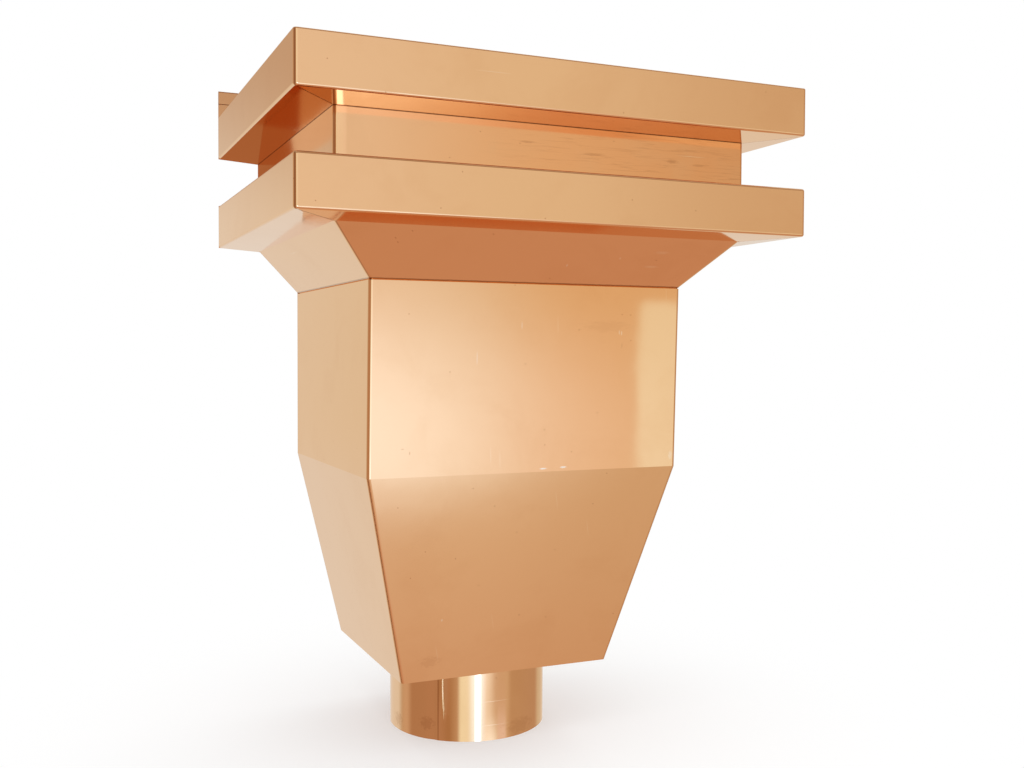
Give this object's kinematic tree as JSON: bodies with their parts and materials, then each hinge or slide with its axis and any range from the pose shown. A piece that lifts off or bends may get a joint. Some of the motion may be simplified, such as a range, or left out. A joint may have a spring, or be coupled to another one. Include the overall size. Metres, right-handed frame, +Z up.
{
  "type": "copper leader head",
  "caption": "Wall-hung copper rain head with stepped bands, a flared and tapered hopper and a round outlet for a downspout.",
  "frame": {"origin": "centre of the outlet's lower end, on the outlet's axis", "axes": "+Z up along the outlet's axis, +Y towards the wall, +X to the right seen from the front"},
  "size_m": [0.3048, 0.2286, 0.4196],
  "materials": {
    "copper": "polished mill copper sheet, untreated"
  },
  "bodies": {
    "root": {"back_plate": "copper", "upper_band": "copper", "neck": "copper", "lower_band": "copper", "flare": "copper", "hopper": "copper", "bottom_plate": "copper", "outlet_tube": "copper"}
  },
  "joints": []
}
